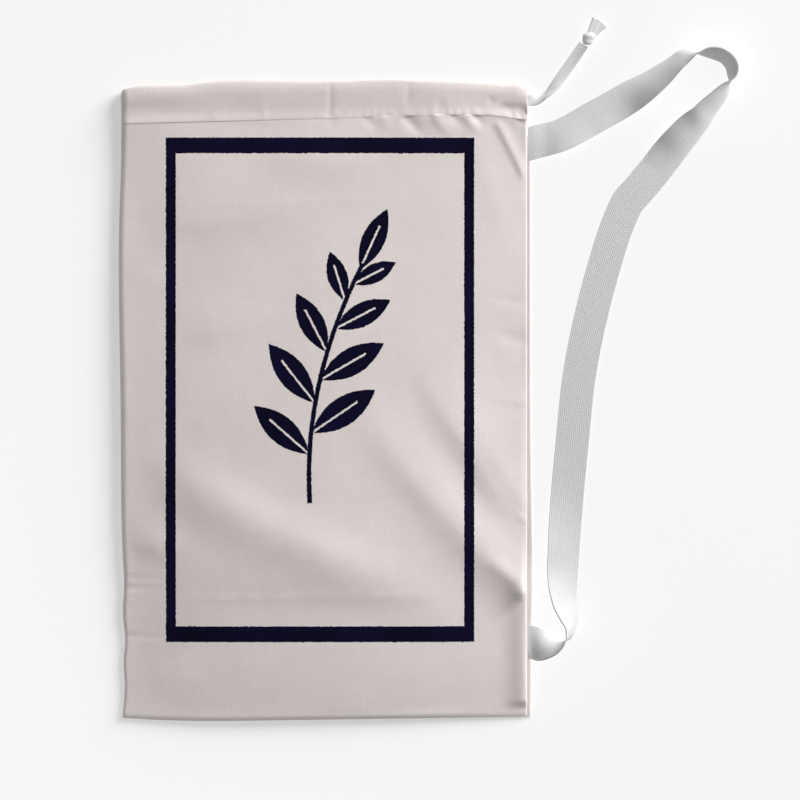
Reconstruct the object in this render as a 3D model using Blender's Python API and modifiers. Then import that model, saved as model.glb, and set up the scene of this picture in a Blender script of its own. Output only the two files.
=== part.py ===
# Cotton laundry bag lying flat on its back, with a drawstring casing along
# the top and a webbing shoulder strap sewn into the right seam.
# Metres, +Z up. The origin is the middle of the underside, +Y runs to the mouth.
import math
from collections import namedtuple

import bmesh
import bpy
from mathutils import Matrix, Vector

# Bag
BAG_WIDTH = 0.4572
BAG_LENGTH = 0.7112
CLOTH_WALL = 0.0011
PUFF_HEIGHT = 0.0165
LEFT_FOLD_HEIGHT = 0.0120
RIGHT_SEAM_HEIGHT = 0.0042
BOTTOM_FOLD_HEIGHT = 0.0050
LEFT_FOLD_REACH = 0.060
RIGHT_SEAM_REACH = 0.075
BOTTOM_FOLD_REACH = 0.055
MOUTH_REACH = 0.080
EDGE_FULLNESS = 2.4
FOLD_JOIN_POWER = 12

# Casing round the mouth
CASING_DEPTH = 0.0410
CASING_WALL = 0.0010
TUNNEL_GAP = 0.0021
MOUTH_GAP = 0.0070
MOUTH_END_GAP = 0.0012
MOUTH_END_REACH = 0.110
GATHER_PITCH = 0.0360
GATHER_HEIGHT = 0.0008

# Seam allowance along the right edge
SEAM_WIDTH = 0.0036
SEAM_THICKNESS = 0.0018

# Shoulder strap
STRAP_WIDTH = 0.0370
STRAP_THICKNESS = 0.0016
STRAP_REACH = 0.2352
STRAP_SPACING = 0.5543
STRAP_LOWER_SEAT = 0.0862
STRAP_SETTLING = 0.020
STRAP_EDGE_LIFT = 0.2

# Drawstring tape, its knot and the tails behind the knot
TAPE_WIDTH = 0.0120
TAPE_THICKNESS = 0.0011
TAPE_DROP = 0.0112
KNOT_OUT = 0.0682
KNOT_RISE = 0.0695
KNOT_TILT = 45
TAPE_SETTLING = 0.030
KNOT_LENGTH = 0.0170
KNOT_WIDTH = 0.0130
KNOT_HEIGHT = 0.0096
TAIL_LENGTH = 0.0235
TAIL_WIDTH = 0.0100
TAIL_THICKNESS = 0.0012
TAIL_SPLAY = 11.0

# Clearance between neighbouring pieces
GAP = 0.0003

# Mesh steps; crowding is the share by which the steps close up near the edges
CROWDING = 0.35
SHARP_EDGE = math.radians(50)
FRONT_COLUMNS = 26
BACK_COLUMNS = 6
FOLD_STEPS = 4
BODY_ROWS = 34
CASING_STEP = 0.0090
CASING_BACK_STEPS = 8
CASING_TURN_STEPS = 6
CASING_EDGE_STEPS = 3
SEAM_ROWS = 30
STRAP_STEPS_PER_ROW = 2
TAPE_STEPS_PER_ROW = 2
KNOT_SIDES = 14
KNOT_RINGS = 9

BODY_RIGHT = BAG_WIDTH / 2 - SEAM_WIDTH - GAP
BODY_LEFT = -BAG_WIDTH / 2
BODY_WIDTH = BODY_RIGHT - BODY_LEFT
BODY_BOTTOM = -BAG_LENGTH / 2
BAG_TOP = BAG_LENGTH / 2
CASING_THICKNESS = 2 * CASING_WALL + TUNNEL_GAP

# Outlines: "across" runs from 0 at the left fold to 1 at the right seam, and
# "along" from 0 at the bottom to 1 at the stitch line below the casing.
TopEdge = namedtuple("TopEdge", "across drop")  # drop: share of the bag length
TOP_EDGE = (
    TopEdge(0.00, 0.0155),
    TopEdge(0.03, 0.0105),
    TopEdge(0.10, 0.0080),
    TopEdge(0.20, 0.0040),
    TopEdge(0.50, 0.0015),
    TopEdge(0.71, 0.0000),
    TopEdge(0.86, 0.0025),
    TopEdge(0.95, 0.0060),
    TopEdge(1.00, 0.0145),
)
StitchLine = namedtuple("StitchLine", "across drop")  # drop: share of the casing depth
STITCH_LINE = (
    StitchLine(0.00, 1.18),
    StitchLine(0.25, 1.11),
    StitchLine(0.51, 1.03),
    StitchLine(0.76, 0.95),
    StitchLine(0.93, 0.97),
    StitchLine(1.00, 1.07),
)
BottomEdge = namedtuple("BottomEdge", "across rise")  # rise: share of the bag length
BOTTOM_EDGE = (
    BottomEdge(0.00, 0.0020),
    BottomEdge(0.05, 0.0000),
    BottomEdge(0.55, 0.0000),
    BottomEdge(1.00, 0.0040),
)
LeftEdge = namedtuple("LeftEdge", "along inset")  # inset: share of the bag width
LEFT_EDGE = (
    LeftEdge(0.00, 0.0065),
    LeftEdge(0.04, 0.0110),
    LeftEdge(0.09, 0.0085),
    LeftEdge(0.12, 0.0120),
    LeftEdge(0.17, 0.0065),
    LeftEdge(0.22, 0.0095),
    LeftEdge(0.27, 0.0060),
    LeftEdge(0.53, 0.0010),
    LeftEdge(0.83, -0.0025),
    LeftEdge(0.93, 0.0020),
    LeftEdge(1.00, 0.0030),
)

# Folds of the front: the crest runs from start to end past the bend point.
# Half widths are shares of the bag width, heights are shares of the puff.
Fold = namedtuple(
    "Fold",
    "start_across start_along bend_across bend_along end_across end_along half_width height",
)
FOLDS = (
    Fold(0.03, 0.43, 0.31, 0.31, 0.86, 0.18, 0.065, 0.21),
    Fold(0.56, 0.55, 0.72, 0.37, 0.97, 0.22, 0.052, 0.21),
    Fold(0.74, 0.59, 0.86, 0.45, 0.98, 0.33, 0.042, 0.14),
    Fold(0.10, 0.84, 0.28, 0.83, 0.49, 0.87, 0.050, 0.08),
    Fold(0.16, 0.66, 0.32, 0.66, 0.54, 0.76, 0.050, 0.08),
    Fold(0.90, 0.99, 0.92, 0.92, 0.98, 0.80, 0.035, 0.12),
    Fold(0.92, 1.00, 0.95, 0.95, 1.00, 0.89, 0.022, -0.12),
    Fold(0.96, 0.20, 0.95, 0.11, 0.96, 0.01, 0.024, -0.14),
    Fold(0.00, 0.34, 0.11, 0.32, 0.19, 0.23, 0.040, 0.12),
    Fold(0.12, 0.13, 0.51, 0.12, 0.91, 0.15, 0.050, -0.09),
)
CREST_SAMPLES = 24
CREST_FADE = 0.25
CREST_END = 0.25

# Strap: one row for each cross line, from the upper end to the lower end.
# "out" is a share of the reach from the bag's edge, "along" a share of the
# spacing between both ends, tilt turns the cross line up about the edge that
# stays on the ground, and seam is 1 where it lies along the seam and 0 where it
# is square to the strap.
StrapRow = namedtuple("StrapRow", "out along tilt seam")
STRAP_ROWS = (
    StrapRow(0.000, 1.000, 0, 1.0),
    StrapRow(0.050, 1.006, 3, 0.6),
    StrapRow(0.142, 1.016, 12, 0),
    StrapRow(0.306, 1.052, 8, 0),
    StrapRow(0.469, 1.091, 12, 0),
    StrapRow(0.582, 1.121, 38, 0),
    StrapRow(0.640, 1.140, 48, 0),
    StrapRow(0.702, 1.162, 60, 0),
    StrapRow(0.744, 1.176, 64, 0),
    StrapRow(0.786, 1.182, 78, 0),
    StrapRow(0.812, 1.182, 90, 0),
    StrapRow(0.847, 1.183, 101, 0),
    StrapRow(0.889, 1.181, 107, 0),
    StrapRow(0.930, 1.174, 107, 0),
    StrapRow(0.966, 1.155, 107, 0),
    StrapRow(0.968, 1.137, 102, 0),
    StrapRow(0.960, 1.125, 90, 0),
    StrapRow(0.944, 1.115, 76, 0),
    StrapRow(0.921, 1.103, 67, 0),
    StrapRow(0.890, 1.088, 61, 0),
    StrapRow(0.852, 1.071, 54, 0),
    StrapRow(0.816, 1.052, 45, 0),
    StrapRow(0.773, 1.034, 32, 0),
    StrapRow(0.722, 1.010, 22, 0),
    StrapRow(0.661, 0.979, 6, 0),
    StrapRow(0.605, 0.948, 0, 0),
    StrapRow(0.532, 0.911, 0, 0),
    StrapRow(0.474, 0.882, 0, 0),
    StrapRow(0.437, 0.848, 0, 0),
    StrapRow(0.400, 0.805, 0, 0),
    StrapRow(0.361, 0.750, 0, 0),
    StrapRow(0.294, 0.640, 0, 0),
    StrapRow(0.247, 0.537, 0, 0),
    StrapRow(0.213, 0.402, 0, 0),
    StrapRow(0.184, 0.270, 5, 0),
    StrapRow(0.173, 0.198, 15, 0),
    StrapRow(0.166, 0.128, 24, 0),
    StrapRow(0.168, 0.104, 33, 0),
    StrapRow(0.175, 0.081, 42, 0),
    StrapRow(0.193, 0.053, 55, 0),
    StrapRow(0.202, 0.028, 71, 0),
    StrapRow(0.190, 0.009, 80, 0),
    StrapRow(0.164, -0.001, 95, 0),
    StrapRow(0.142, -0.006, 106, 0),
    StrapRow(0.124, -0.008, 116, 0),
    StrapRow(0.100, -0.009, 128, 0),
    StrapRow(0.076, -0.008, 145, 0.3),
    StrapRow(0.047, -0.004, 164, 0.7),
    StrapRow(0.020, -0.001, 177, 1.0),
    StrapRow(0.000, 0.000, 180, 1.0),
)

# Tape ends: "out" and "rise" are shares of the way from the casing to the knot.
TapeRow = namedtuple("TapeRow", "out rise tilt")
TAPE_ROWS = (
    TapeRow(0.000, 0.000, 0),
    TapeRow(0.060, 0.000, 0),
    TapeRow(0.160, 0.010, 0),
    TapeRow(0.290, 0.070, 12),
    TapeRow(0.410, 0.180, 24),
    TapeRow(0.510, 0.310, 22),
    TapeRow(0.600, 0.440, 18),
    TapeRow(0.700, 0.580, 20),
    TapeRow(0.810, 0.735, 32),
)


def clear_scene():
    for old in list(bpy.data.objects):
        bpy.data.objects.remove(old, do_unlink=True)


def make_collection(name):
    collection = bpy.data.collections.new(name)
    bpy.context.scene.collection.children.link(collection)
    return collection


def make_material(name, colour, roughness):
    material = bpy.data.materials.new(name)
    material.use_nodes = True
    surface = material.node_tree.nodes["Principled BSDF"]
    surface.inputs["Base Color"].default_value = (*colour, 1.0)
    surface.inputs["Roughness"].default_value = roughness
    surface.inputs["Metallic"].default_value = 0.0
    return material


def mix(low, high, share):
    return low + (high - low) * share


def ease(share):
    share = min(max(share, 0.0), 1.0)
    return share * share * (3 - 2 * share)


def crowded(share):
    return mix(share, ease(share), CROWDING)


def smooth_value(knots, values, place):
    # Cubic curve through the values, with each slope weighted by its spans.
    last = len(knots) - 1
    place = min(max(place, knots[0]), knots[last])
    span = max(i for i in range(last) if knots[i] <= place)

    def slope(i):
        if i in (0, last):
            near = 1 if i == 0 else last
            return (values[near] - values[near - 1]) / (knots[near] - knots[near - 1])
        before = knots[i] - knots[i - 1]
        after = knots[i + 1] - knots[i]
        back = (values[i] - values[i - 1]) / before
        ahead = (values[i + 1] - values[i]) / after
        return (back * after + ahead * before) / (before + after)

    width = knots[span + 1] - knots[span]
    t = (place - knots[span]) / width
    start = values[span] * (2 * t**3 - 3 * t**2 + 1) + values[span + 1] * (3 * t**2 - 2 * t**3)
    turn = slope(span) * (t**3 - 2 * t**2 + t) + slope(span + 1) * (t**3 - t**2)
    return start + turn * width


def column_value(rows, key, value, place):
    knots = [getattr(row, key) for row in rows]
    values = [getattr(row, value) for row in rows]
    return smooth_value(knots, values, place)


def top_edge_y(across):
    return BAG_TOP - BAG_LENGTH * column_value(TOP_EDGE, "across", "drop", across)


def stitch_line_y(across):
    return BAG_TOP - CASING_DEPTH * column_value(STITCH_LINE, "across", "drop", across)


def bottom_edge_y(across):
    return BODY_BOTTOM + BAG_LENGTH * column_value(BOTTOM_EDGE, "across", "rise", across)


def left_edge_x(along):
    return BODY_LEFT + BAG_WIDTH * column_value(LEFT_EDGE, "along", "inset", along)


def mouth_gap(across):
    closing = ease((1 - across) * BODY_WIDTH / MOUTH_END_REACH)
    return mix(MOUTH_END_GAP, MOUTH_GAP, closing)


def gather(across):
    # Puckers that the drawn tape pulls into the front, stronger to the right.
    phase = 2 * math.pi * across * BODY_WIDTH / GATHER_PITCH
    fade = across**2 * ease((1 - across) * BODY_WIDTH / GATHER_PITCH)
    return GATHER_HEIGHT * fade * math.sin(phase)


def casing_front_top(across):
    return 2 * CASING_THICKNESS + mouth_gap(across) + gather(across)


def crest_point(fold, share):
    start, bend, end = (1 - share) ** 2, 2 * share * (1 - share), share**2
    across = start * fold.start_across + bend * fold.bend_across + end * fold.end_across
    along = start * fold.start_along + bend * fold.bend_along + end * fold.end_along
    return across * BODY_WIDTH, along * BAG_LENGTH


CRESTS = [
    (fold, [(crest_point(fold, i / CREST_SAMPLES), i / CREST_SAMPLES) for i in range(CREST_SAMPLES + 1)])
    for fold in FOLDS
]


def fold_relief(across, along):
    x, y = across * BODY_WIDTH, along * BAG_LENGTH
    relief = 0.0
    for fold, crest in CRESTS:
        distance, share = min((math.dist((x, y), point), share) for point, share in crest)
        fade = ease(min(share, 1 - share) / CREST_FADE + CREST_END)
        steepness = distance / (fold.half_width * BAG_WIDTH)
        relief += PUFF_HEIGHT * fold.height * fade * math.exp(-(steepness**2))
    return relief


def edge_rise(distance, reach):
    share = min(max(distance / reach, 0.0), 1.0)
    return 1 - (1 - share) ** EDGE_FULLNESS


def front_height(across, along):
    # Height of the outer face of the front above the ground.
    height = PUFF_HEIGHT + fold_relief(across, along)
    height = mix(RIGHT_SEAM_HEIGHT, height, edge_rise((1 - across) * BODY_WIDTH, RIGHT_SEAM_REACH))
    height = mix(LEFT_FOLD_HEIGHT, height, edge_rise(across * BODY_WIDTH, LEFT_FOLD_REACH))
    height = mix(BOTTOM_FOLD_HEIGHT, height, edge_rise(along * BAG_LENGTH, BOTTOM_FOLD_REACH))
    return mix(casing_front_top(across), height, edge_rise((1 - along) * BAG_LENGTH, MOUTH_REACH))


def body_point(x, z, along):
    left = left_edge_x(along)
    across = (x - left) / (BODY_RIGHT - left)
    low, high = bottom_edge_y(across), stitch_line_y(across) - GAP
    return Vector((x, mix(low, high, along), z))


def body_ring(along):
    # One turn round the bag: over the front to the left, round the fold and
    # along the flat back to the right seam.
    left = left_edge_x(along)
    radius = front_height(0.0, along) / 2
    fold_x = left + radius
    points = []
    for column in range(FRONT_COLUMNS + 1):
        share = crowded(column / FRONT_COLUMNS)
        x = mix(BODY_RIGHT, fold_x, share)
        across = (x - left) / (BODY_RIGHT - left)
        height = front_height(across, along)
        points.append(body_point(x, mix(height, 2 * radius, share**FOLD_JOIN_POWER), along))
    for step in range(1, FOLD_STEPS):
        angle = math.pi * step / FOLD_STEPS
        x = fold_x - radius * math.sin(angle)
        points.append(body_point(x, radius + radius * math.cos(angle), along))
    for column in range(BACK_COLUMNS + 1):
        x = mix(fold_x, BODY_RIGHT, column / BACK_COLUMNS)
        points.append(body_point(x, 0.0, along))
    return points


def skin_rings(shape, rings, closed=True):
    # Quads between neighbouring rings of equal length.
    vertices = [[shape.verts.new(point) for point in ring] for ring in rings]
    for ring, following in zip(vertices, vertices[1:]):
        count = len(ring)
        for i in range(count if closed else count - 1):
            j = (i + 1) % count
            shape.faces.new((ring[i], ring[j], following[j], following[i]))
    return vertices


def finish_mesh(name, shape, material, collection, wall=0.0, offset=-1.0):
    # Points the faces outwards, makes the object and gives it a wall.
    bmesh.ops.recalc_face_normals(shape, faces=shape.faces)
    mesh = bpy.data.meshes.new(name)
    shape.to_mesh(mesh)
    shape.free()
    mesh.shade_smooth()
    mesh.set_sharp_from_angle(angle=SHARP_EDGE)
    mesh.materials.append(material)
    piece = bpy.data.objects.new(name, mesh)
    collection.objects.link(piece)
    if wall:
        solid = piece.modifiers.new("Wall", "SOLIDIFY")
        solid.thickness = wall
        solid.offset = offset
        solid.use_even_offset = True
        solid.use_quality_normals = True
    return piece


def make_bag_body(collection, cloth):
    shape = bmesh.new()
    rings = []
    for row in range(BODY_ROWS + 1):
        rings.append(body_ring(crowded(row / BODY_ROWS)))
    vertices = skin_rings(shape, rings)
    shape.faces.new(vertices[0])
    return finish_mesh("bag_body", shape, cloth, collection, wall=CLOTH_WALL)


def casing_path():
    # Middle line of the tunnel seen along Y: front, left turn, back.
    # Each station is (x, z, across, outward direction).
    left = left_edge_x(1.0)
    turn_radius = (MOUTH_GAP + CASING_THICKNESS) / 2
    turn_x = left + CASING_THICKNESS / 2 + turn_radius
    turn_z = CASING_THICKNESS / 2 + turn_radius
    front_steps = max(8, round((BODY_RIGHT - turn_x) / CASING_STEP))
    stations = []
    for step in range(front_steps):
        x = mix(BODY_RIGHT, turn_x, step / front_steps)
        across = (x - left) / (BODY_RIGHT - left)
        z = casing_front_top(across) - CASING_THICKNESS / 2
        stations.append((x, z, across, Vector((0, 0, 1))))
    for step in range(CASING_TURN_STEPS + 1):
        angle = math.pi / 2 + math.pi * step / CASING_TURN_STEPS
        outward = Vector((math.cos(angle), 0, math.sin(angle)))
        x = turn_x + turn_radius * outward.x
        across = (x - left) / (BODY_RIGHT - left)
        stations.append((x, turn_z + turn_radius * outward.z, across, outward))
    for step in range(1, CASING_BACK_STEPS + 1):
        x = mix(turn_x, BODY_RIGHT, step / CASING_BACK_STEPS)
        across = (x - left) / (BODY_RIGHT - left)
        stations.append((x, CASING_THICKNESS / 2, across, Vector((0, 0, -1))))
    return stations


def make_casing(collection, cloth):
    # Flattened tube with round long edges, open at both ends.
    shape = bmesh.new()
    half = CASING_THICKNESS / 2
    rings = []
    for x, z, across, outward in casing_path():
        ring = []
        for edge, turn in ((stitch_line_y(across) + half, -1), (top_edge_y(across) - half, 1)):
            for corner in range(CASING_EDGE_STEPS + 1):
                angle = math.pi * corner / CASING_EDGE_STEPS
                centre = Vector((x, edge + turn * half * math.sin(angle), z))
                ring.append(centre - outward * half * turn * math.cos(angle))
        rings.append(ring)
    skin_rings(shape, rings)
    return finish_mesh("casing", shape, cloth, collection, wall=CASING_WALL)


def tape_seat_y():
    return top_edge_y(1.0) - TAPE_DROP


def make_drawstring_loop(collection, tape):
    # The tape lies along the middle of the tunnel.
    shape = bmesh.new()
    rings = []
    for x, z, across, outward in casing_path():
        middle = mix(stitch_line_y(across), top_edge_y(across), 0.5)
        y = mix(tape_seat_y(), middle, ease((1 - across) * BODY_WIDTH / MOUTH_END_REACH))
        centre = Vector((x, y, z))
        across_tape = Vector((0, TAPE_WIDTH / 2, 0))
        through = outward * TAPE_THICKNESS / 2
        rings.append([
            centre + across_tape + through,
            centre - across_tape + through,
            centre - across_tape - through,
            centre + across_tape - through,
        ])
    vertices = skin_rings(shape, rings)
    shape.faces.new(vertices[0])
    shape.faces.new(vertices[-1])
    return finish_mesh("drawstring_loop", shape, tape, collection)


def make_side_seam(collection, cloth):
    # Flat strip of cloth that stands out past the right edge of the bag.
    shape = bmesh.new()
    inner, outer = BODY_RIGHT + GAP, BAG_WIDTH / 2
    low = bottom_edge_y(1.0)
    high = STRAP_LOWER_SEAT + BODY_BOTTOM + STRAP_SPACING + STRAP_WIDTH / 4
    rings = []
    for row in range(SEAM_ROWS + 1):
        y = mix(low, high, row / SEAM_ROWS)
        rings.append([
            Vector((inner, y, 0)),
            Vector((outer, y, 0)),
            Vector((outer, y, SEAM_THICKNESS)),
            Vector((inner, y, SEAM_THICKNESS)),
        ])
    vertices = skin_rings(shape, rings)
    shape.faces.new(vertices[0])
    shape.faces.new(vertices[-1])
    return finish_mesh("side_seam", shape, cloth, collection)


def route_stations(points, columns, steps_per_row):
    # Smooth route through the points: (x, y, travel direction, column values).
    knots = [0.0]
    for before, after in zip(points, points[1:]):
        knots.append(knots[-1] + math.dist(before, after))
    places = []
    for low, high in zip(knots, knots[1:]):
        places += [mix(low, high, step / steps_per_row) for step in range(steps_per_row)]
    places.append(knots[-1])

    def at(place):
        x = smooth_value(knots, [point[0] for point in points], place)
        y = smooth_value(knots, [point[1] for point in points], place)
        return Vector((x, y, 0))

    nudge = knots[-1] * 1e-4
    stations = []
    for place in places:
        travel = (at(min(place + nudge, knots[-1])) - at(max(place - nudge, 0.0))).normalized()
        values = [smooth_value(knots, column, place) for column in columns]
        stations.append((at(place), travel, values))
    return stations


def cross_direction(travel, tilt):
    # Square to the travel direction, turned up by the tilt.
    level = Vector((travel.y, -travel.x, 0))
    return level * math.cos(tilt) + Vector((0, 0, math.sin(tilt)))


def make_strap(collection, webbing):
    start_x = BODY_RIGHT + 2 * GAP
    low_y = BODY_BOTTOM + STRAP_LOWER_SEAT
    reach = STRAP_REACH - 2 * GAP
    points = [(start_x + row.out * reach, low_y + row.along * STRAP_SPACING) for row in STRAP_ROWS]
    columns = [[row.tilt for row in STRAP_ROWS], [row.seam for row in STRAP_ROWS]]
    shape = bmesh.new()
    rings = []
    for centre, travel, (tilt, seam) in route_stations(points, columns, STRAP_STEPS_PER_ROW):
        tilt = math.radians(min(max(tilt, 0.0), 180.0))
        slant = travel.y / abs(travel.x) if seam else 0.0
        cross = cross_direction(travel, tilt) - travel * slant * seam
        settled = ease((centre.x - BAG_WIDTH / 2) / STRAP_SETTLING)
        seat = mix(SEAM_THICKNESS + GAP, 0.0, settled)
        half_wall = STRAP_THICKNESS / 2
        wall_drop = half_wall * (abs(math.cos(tilt)) + STRAP_EDGE_LIFT)
        centre.z = STRAP_WIDTH / 2 * math.sin(tilt) + wall_drop + seat
        rings.append([centre + cross * STRAP_WIDTH * side for side in (-0.5, 0.0, 0.5)])
    skin_rings(shape, rings, closed=False)
    return finish_mesh("strap", shape, webbing, collection, wall=STRAP_THICKNESS, offset=0.0)


def tape_route():
    # Points from the casing to the knot's near side, the knot's middle and the
    # direction in which the tape reaches it.
    start = Vector((BODY_RIGHT + GAP, tape_seat_y(), 0))
    points = [(start.x + row.out * KNOT_OUT, start.y + row.rise * KNOT_RISE) for row in TAPE_ROWS]
    knot = Vector((start.x + KNOT_OUT, start.y + KNOT_RISE, KNOT_HEIGHT / 2))
    heading = (knot.to_2d() - Vector(points[-1])).normalized()
    points.append(tuple(knot.to_2d() - heading * (KNOT_LENGTH / 2 + GAP)))
    return points, knot, heading


def make_drawstring_end(name, side, exit_z, collection, tape):
    # side is +1 for the tape that lies on top and -1 for the one below.
    points = tape_route()[0]
    tilts = [row.tilt for row in TAPE_ROWS] + [KNOT_TILT]
    shape = bmesh.new()
    rings = []
    for centre, travel, (tilt,) in route_stations(points, [tilts], TAPE_STEPS_PER_ROW):
        tilt = math.radians(tilt)
        cross = cross_direction(travel, tilt) * TAPE_WIDTH / 2
        through = cross_direction(travel, tilt + math.pi / 2) * TAPE_THICKNESS / 2
        stack = TAPE_THICKNESS + GAP
        ground_z = TAPE_WIDTH / 2 * math.sin(tilt) + stack * abs(math.cos(tilt))
        resting = centre + Vector((0, 0, ground_z)) + through.normalized() * side * stack / 2
        settled = ease((centre.x - points[0][0]) / TAPE_SETTLING)
        resting.z = mix(exit_z, resting.z, settled)
        rings.append([
            resting + cross + through,
            resting - cross + through,
            resting - cross - through,
            resting + cross - through,
        ])
    vertices = skin_rings(shape, rings)
    shape.faces.new(vertices[0])
    shape.faces.new(vertices[-1])
    return finish_mesh(name, shape, tape, collection)


def make_drawstring_knot(collection, helpers, tape):
    centre, direction = tape_route()[1:]
    heading = math.atan2(direction.y, direction.x)
    shape = bmesh.new()
    bmesh.ops.create_uvsphere(shape, u_segments=KNOT_SIDES, v_segments=KNOT_RINGS, radius=0.5)
    bmesh.ops.scale(shape, vec=(KNOT_LENGTH, KNOT_WIDTH, KNOT_HEIGHT), verts=shape.verts)
    bmesh.ops.rotate(shape, matrix=Matrix.Rotation(heading, 3, "Z"), verts=shape.verts)
    bmesh.ops.translate(shape, vec=centre, verts=shape.verts)
    knot = finish_mesh("drawstring_knot", shape, tape, collection)
    for name, side in (("tail_upper", 1), ("tail_lower", -1)):
        turn = heading + math.radians(TAIL_SPLAY) * side
        tail_shape = bmesh.new()
        bmesh.ops.create_cube(tail_shape, size=1.0)
        size = (TAIL_LENGTH, TAIL_WIDTH, TAIL_THICKNESS)
        bmesh.ops.scale(tail_shape, vec=size, verts=tail_shape.verts)
        lift = side * (TAIL_THICKNESS + GAP)
        bmesh.ops.translate(tail_shape, vec=(TAIL_LENGTH / 2, 0, lift), verts=tail_shape.verts)
        bmesh.ops.rotate(tail_shape, matrix=Matrix.Rotation(turn, 3, "Z"), verts=tail_shape.verts)
        bmesh.ops.translate(tail_shape, vec=centre, verts=tail_shape.verts)
        tail = finish_mesh(name, tail_shape, tape, helpers)
        tail.hide_render = True
        tail.display_type = "WIRE"
        joined = knot.modifiers.new(name, "BOOLEAN")
        joined.operation = "UNION"
        joined.solver = "EXACT"
        joined.object = tail
    return knot


def main():
    clear_scene()
    bag = make_collection("Laundry bag")
    helpers = make_collection("Laundry bag helper shapes")
    cloth = make_material("natural cotton", (0.62, 0.57, 0.55), 0.90)
    hem = make_material("natural cotton casing", (0.55, 0.50, 0.49), 0.90)
    selvage = make_material("natural cotton seam", (0.60, 0.55, 0.53), 0.90)
    webbing = make_material("grey webbing", (0.49, 0.49, 0.50), 0.80)
    tape = make_material("grey drawstring tape", (0.36, 0.36, 0.37), 0.85)
    make_bag_body(bag, cloth)
    make_casing(bag, hem)
    make_side_seam(bag, selvage)
    make_strap(bag, webbing)
    make_drawstring_loop(bag, tape)
    front_exit = casing_front_top(1.0) - CASING_THICKNESS / 2
    make_drawstring_end("drawstring_end_front", 1, front_exit, bag, tape)
    make_drawstring_end("drawstring_end_back", -1, CASING_THICKNESS / 2, bag, tape)
    make_drawstring_knot(bag, helpers, tape)


main()
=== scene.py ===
# Cotton laundry bag lying flat on a pale table: puffed and creased body, drawstring
# casing, printed frame with a leaf sprig, webbing shoulder strap and knotted tape.
import math
from collections import namedtuple

import bmesh
import bpy
import numpy as np
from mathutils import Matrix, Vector, noise


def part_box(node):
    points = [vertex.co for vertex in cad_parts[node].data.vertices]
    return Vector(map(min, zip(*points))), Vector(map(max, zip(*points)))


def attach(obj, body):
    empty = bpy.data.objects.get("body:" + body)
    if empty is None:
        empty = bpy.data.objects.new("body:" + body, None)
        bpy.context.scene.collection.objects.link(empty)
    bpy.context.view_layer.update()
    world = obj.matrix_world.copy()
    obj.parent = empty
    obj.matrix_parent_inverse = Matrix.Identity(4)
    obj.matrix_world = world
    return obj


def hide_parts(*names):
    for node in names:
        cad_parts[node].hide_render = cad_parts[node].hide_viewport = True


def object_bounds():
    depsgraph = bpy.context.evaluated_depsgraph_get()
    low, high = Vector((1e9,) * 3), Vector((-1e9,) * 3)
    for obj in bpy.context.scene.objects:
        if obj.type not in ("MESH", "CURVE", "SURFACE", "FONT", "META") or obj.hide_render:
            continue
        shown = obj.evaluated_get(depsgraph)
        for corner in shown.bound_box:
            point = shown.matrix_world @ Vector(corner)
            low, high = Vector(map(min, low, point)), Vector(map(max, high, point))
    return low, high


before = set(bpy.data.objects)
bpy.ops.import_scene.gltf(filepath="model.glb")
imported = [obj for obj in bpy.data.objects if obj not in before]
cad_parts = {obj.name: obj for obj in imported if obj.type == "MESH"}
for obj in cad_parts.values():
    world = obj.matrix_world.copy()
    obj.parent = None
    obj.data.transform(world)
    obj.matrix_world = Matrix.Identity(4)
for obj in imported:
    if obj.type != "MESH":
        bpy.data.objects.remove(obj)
cadLow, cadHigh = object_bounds()
print("frame loaded:", sorted(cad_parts))


# Camera, light and table

viewValues = {
    "middleX": 0.0831,  # metres from the bag's middle to the picture's middle
    "frameWidth": 0.892,  # width of the floor that the picture shows
    "lens": 200.0,
    "sensor": 36.0,
}


def makeCamera():
    data = bpy.data.cameras.new("topCamera")
    data.lens = viewValues["lens"]
    data.sensor_width = viewValues["sensor"]
    data.dof.use_dof = False
    camera = bpy.data.objects.new("topCamera", data)
    height = viewValues["frameWidth"] * viewValues["lens"] / viewValues["sensor"]
    camera.location = (viewValues["middleX"], 0, height)
    bpy.context.scene.collection.objects.link(camera)
    bpy.context.scene.camera = camera


lightValues = {
    "keySide": 40.0,  # degrees from +X towards +Y
    "keyHeight": 22.5,  # degrees above the table
    "keyDistance": 6.0,
    "keySize": 4.2,
    "keyStrength": 520.0,
    "sky": 0.36,
    "tableAlbedo": 0.715,
    "tableGlow": 0.306,
    "tableEvening": 0.155,  # glow lost per metre towards the light
    "tableSize": 30.0,
}


def lightDirection():
    side = math.radians(lightValues["keySide"])
    height = math.radians(lightValues["keyHeight"])
    return Vector((math.cos(side) * math.cos(height), math.sin(side) * math.cos(height), math.sin(height)))


def makeLight():
    data = bpy.data.lights.new("windowLight", "AREA")
    data.shape = "DISK"
    data.size = lightValues["keySize"]
    data.energy = lightValues["keyStrength"]
    light = bpy.data.objects.new("windowLight", data)
    light.location = lightDirection() * lightValues["keyDistance"]
    light.rotation_mode = "QUATERNION"
    light.rotation_quaternion = lightDirection().to_track_quat("Z", "Y")
    bpy.context.scene.collection.objects.link(light)
    world = bpy.data.worlds.new("paleRoom")
    world.use_nodes = True
    sky = world.node_tree.nodes["Background"]
    sky.inputs["Color"].default_value = (1, 1, 1, 1)
    sky.inputs["Strength"].default_value = lightValues["sky"]
    bpy.context.scene.world = world
    bpy.context.scene.view_settings.view_transform = "Standard"
    bpy.context.scene.view_settings.look = "None"


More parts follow.
